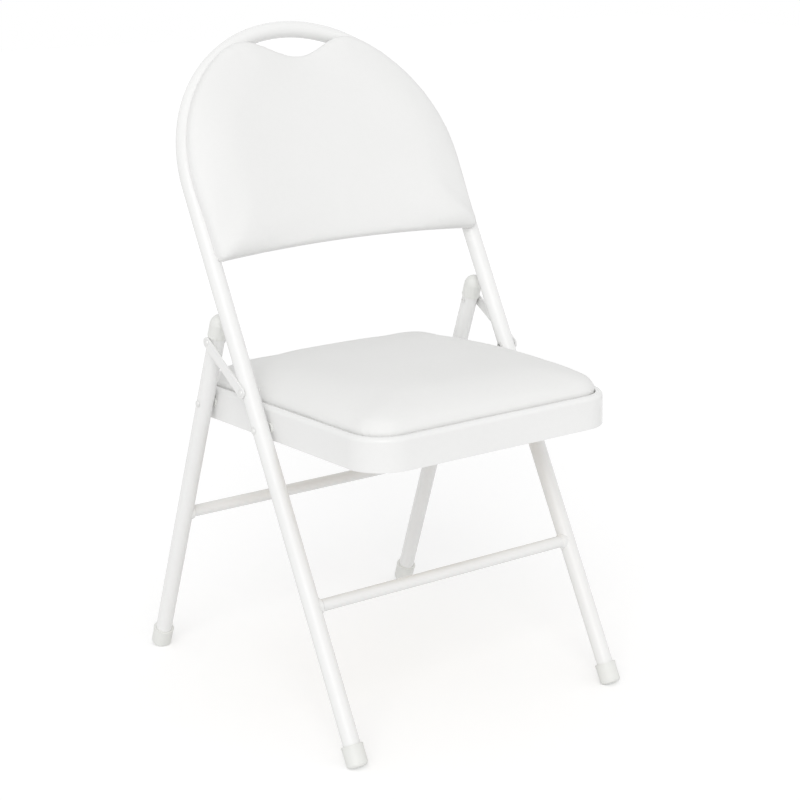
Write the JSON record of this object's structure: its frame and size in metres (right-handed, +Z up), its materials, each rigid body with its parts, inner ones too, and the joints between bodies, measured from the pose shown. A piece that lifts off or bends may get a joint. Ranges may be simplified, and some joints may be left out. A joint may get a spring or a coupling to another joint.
{
  "type": "folding banquet chair",
  "caption": "Folding chair with a bent-tube frame, a padded seat in a deep steel frame, a padded round-topped back with a hand hole, and side links that couple seat and rear legs.",
  "frame": {"origin": "on the floor, on the chair's plane of symmetry, half way along its depth", "axes": "+Z up, +X to the right of a viewer who faces the chair's front, and -Y the way the sitter faces"},
  "size_m": [0.454, 0.5066, 0.8593],
  "materials": {
    "powder_coat": "gloss",
    "seat_vinyl": "satin",
    "back_vinyl": "satin",
    "panel_plastic": "satin",
    "foot_plastic": "satin",
    "foam": "matte",
    "plywood": "matte",
    "zinc_steel": "satin",
    "rivet_steel": "satin"
  },
  "bodies": {
    "frame": {"front_frame": "powder_coat", "front_crossbar": "powder_coat", "front_foot_left": "foot_plastic", "front_foot_right": "foot_plastic", "back_board": "plywood", "back_foam": "foam", "back_cover": "back_vinyl", "back_rear_panel": "panel_plastic", "back_tabs": "powder_coat", "back_screws": "zinc_steel", "back_tee_nuts": "zinc_steel", "seat_rivet_left": "rivet_steel", "seat_rivet_right": "rivet_steel", "link_low_rivet_left": "rivet_steel", "link_low_rivet_right": "rivet_steel"},
    "seat": {"seat_frame": "powder_coat", "seat_board": "plywood", "seat_foam": "foam", "seat_cover": "seat_vinyl", "seat_screws": "zinc_steel", "front_spacer_left": "foot_plastic", "front_spacer_right": "foot_plastic", "rear_spacer_left": "foot_plastic", "rear_spacer_right": "foot_plastic"},
    "rear_legs": {"rear_leg_left": "powder_coat", "rear_leg_right": "powder_coat", "rear_crossbar": "powder_coat", "rear_foot_left": "foot_plastic", "rear_foot_right": "foot_plastic", "rear_cap_left": "foot_plastic", "rear_cap_right": "foot_plastic", "leg_rivet_left": "rivet_steel", "leg_rivet_right": "rivet_steel", "link_stud_left": "rivet_steel", "link_stud_right": "rivet_steel"},
    "link_left": {"link_left": "powder_coat", "link_high_rivet_left": "rivet_steel"},
    "link_right": {"link_right": "powder_coat", "link_high_rivet_right": "rivet_steel"}
  },
  "joints": [
    {"name": "seat_fold", "type": "hinge", "parent": "frame", "child": "seat", "pos_m": [0, -0.03051, 0.38078], "axis": [-1, 0, 0], "range_deg": [0, 109.2]},
    {"name": "leg_fold", "type": "hinge", "parent": "seat", "child": "rear_legs", "pos_m": [0, 0.10664, 0.38483], "axis": [1, 0, 0], "range_deg": [0, 60.86]},
    {"name": "link_left_fold", "type": "hinge", "parent": "frame", "child": "link_left", "pos_m": [-0.2207, -0.00608, 0.42521], "axis": [-1, 0, 0], "range_deg": [0, 133.07]},
    {"name": "link_right_fold", "type": "hinge", "parent": "frame", "child": "link_right", "pos_m": [0.2207, -0.00608, 0.42521], "axis": [-1, 0, 0], "range_deg": [0, 133.07]}
  ],
  "couplings": [
    {"joint": "leg_fold", "follows": "seat_fold", "ratio": 0.55727},
    {"joint": "link_left_fold", "follows": "seat_fold", "ratio": 1.2186},
    {"joint": "link_right_fold", "follows": "seat_fold", "ratio": 1.2186}
  ]
}
